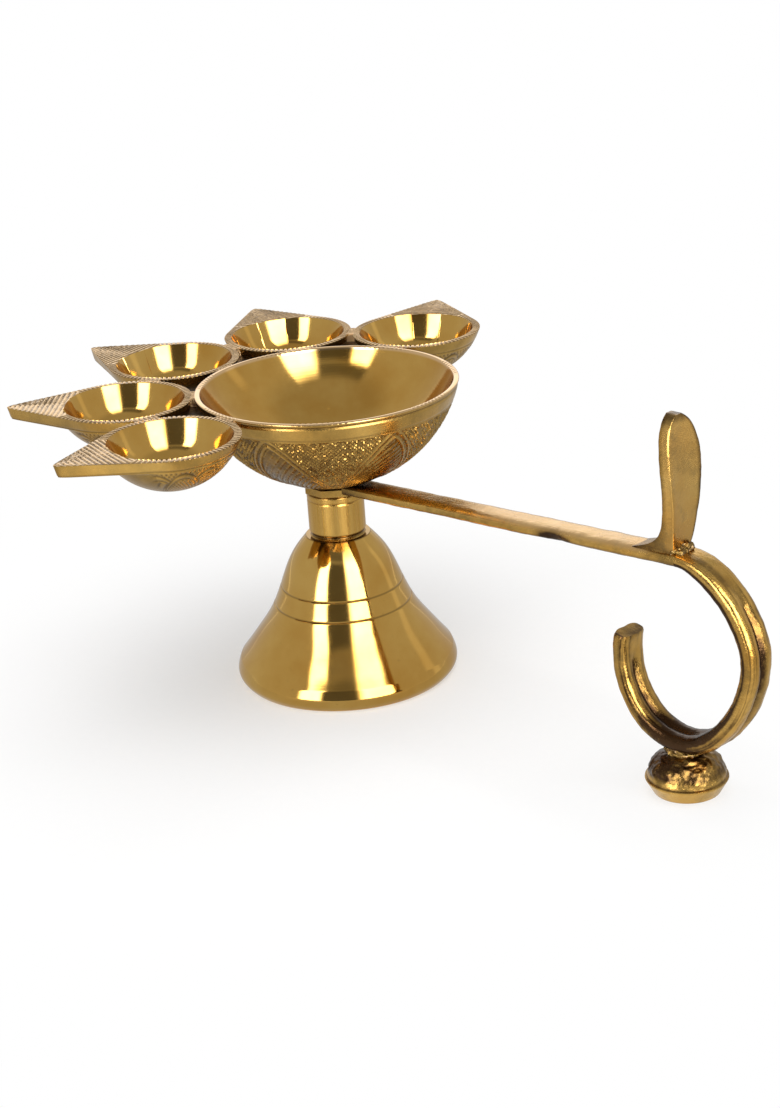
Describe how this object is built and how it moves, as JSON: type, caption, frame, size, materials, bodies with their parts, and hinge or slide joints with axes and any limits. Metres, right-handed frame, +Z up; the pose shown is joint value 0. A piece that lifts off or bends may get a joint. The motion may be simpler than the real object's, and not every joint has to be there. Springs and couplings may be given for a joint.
{
  "type": "aarti lamp",
  "caption": "Brass aarti lamp: a round bowl ringed by leaf shaped wick cups on a bell shaped base, with a level arm, cobra hood thumb rest, open finger loop and button foot.",
  "frame": {"origin": "middle of the ring that the bell base stands on, at table level", "axes": "+X out along the handle, +Z up along the stud, +Y completes the right-handed frame"},
  "size_m": [0.2505, 0.1792, 0.1058],
  "materials": {
    "polished_brass": "polished",
    "engraved_brass": "polished, engraved, dark in the recesses",
    "cast_brass": "cast and filed",
    "filler_metal": "rough braze",
    "hardware_brass": "turned"
  },
  "bodies": {
    "base": {"bell_base": "polished_brass", "neck_collar": "polished_brass"},
    "head": {"center_bowl": "engraved_brass", "wick_cup_1": "engraved_brass", "wick_cup_2": "engraved_brass", "wick_cup_3": "engraved_brass", "wick_cup_4": "engraved_brass", "wick_cup_5": "engraved_brass", "rim_webs": "filler_metal", "head_stud": "hardware_brass"},
    "handle": {"handle_arm": "cast_brass", "finger_loop": "cast_brass", "cobra_hood": "cast_brass", "hood_braze": "filler_metal", "handle_foot": "cast_brass", "foot_braze": "filler_metal"},
    "washer": {"clamp_washer": "hardware_brass"},
    "nut": {"clamp_nut": "hardware_brass"}
  },
  "joints": [
    {"name": "handle_swivel", "type": "hinge", "parent": "base", "child": "handle", "pos_m": [0, 0, 0.0582], "axis": [0, 0, 1], "continuous": true},
    {"name": "head_swivel", "type": "hinge", "parent": "base", "child": "head", "pos_m": [0, 0, 0.0609], "axis": [0, 0, 1], "continuous": true},
    {"name": "nut_travel", "type": "slide", "parent": "head", "child": "washer", "axis": [0, 0, -1], "range_m": [0, 0.008]},
    {"name": "nut_spin", "type": "hinge", "parent": "washer", "child": "nut", "pos_m": [0, 0, 0.0354], "axis": [0, 0, -1], "range_deg": [0, 2880]}
  ],
  "couplings": [
    {"joint": "nut_travel", "follows": "nut_spin", "m_per_rad": 0.00015915}
  ]
}
